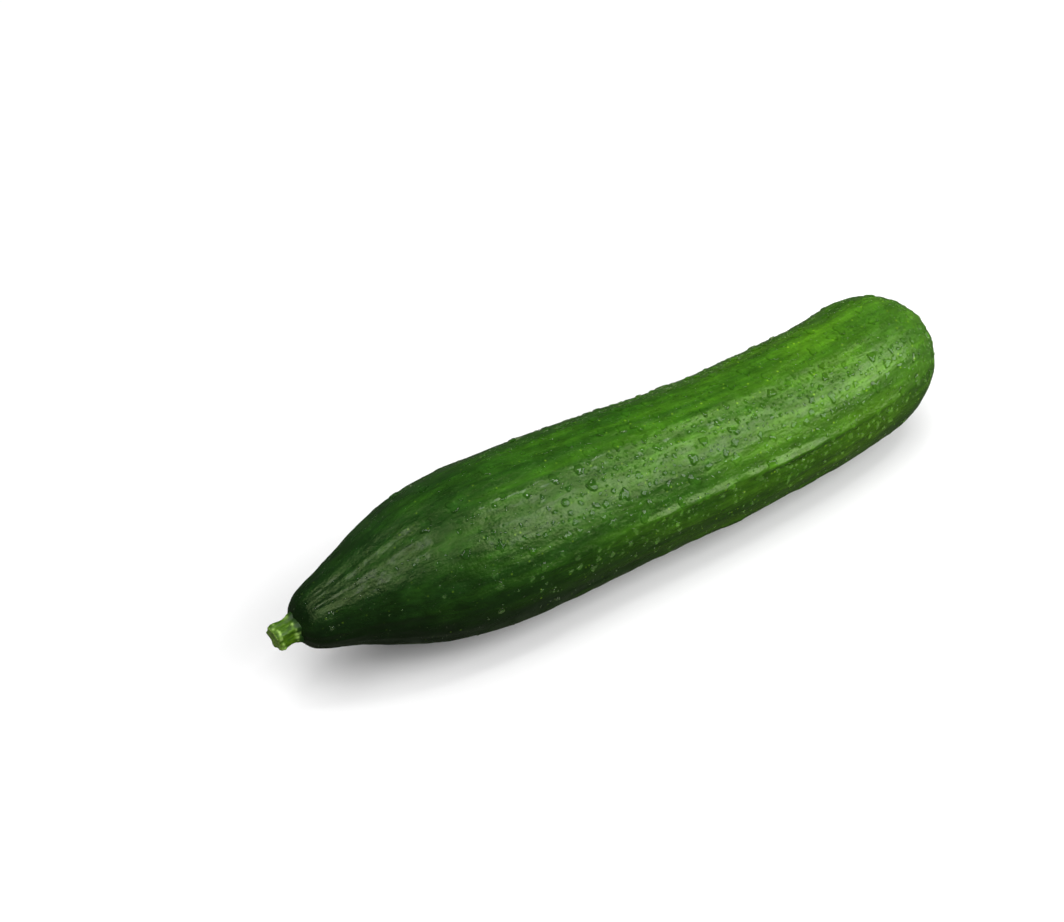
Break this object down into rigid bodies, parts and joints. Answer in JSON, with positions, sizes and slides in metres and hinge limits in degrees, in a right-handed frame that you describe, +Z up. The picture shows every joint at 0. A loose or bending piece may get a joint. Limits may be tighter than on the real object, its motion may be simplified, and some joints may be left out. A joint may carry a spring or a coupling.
{
  "type": "cucumber",
  "caption": "Short smooth-skinned cucumber with a tapered neck, a stub of green stem and a rounded blossom end, lying on its side.",
  "frame": {"origin": "under the middle of the whole cucumber's box, on the surface that it lies on", "axes": "+X along the fruit from stem to blossom end, +Z up from the surface"},
  "size_m": [0.1864, 0.0388, 0.0381],
  "materials": {
    "fruit_skin": "satin",
    "stem_green": "matte",
    "water": "polished"
  },
  "bodies": {
    "root": {"fruit": "fruit_skin", "stem": "stem_green"}
  },
  "joints": []
}
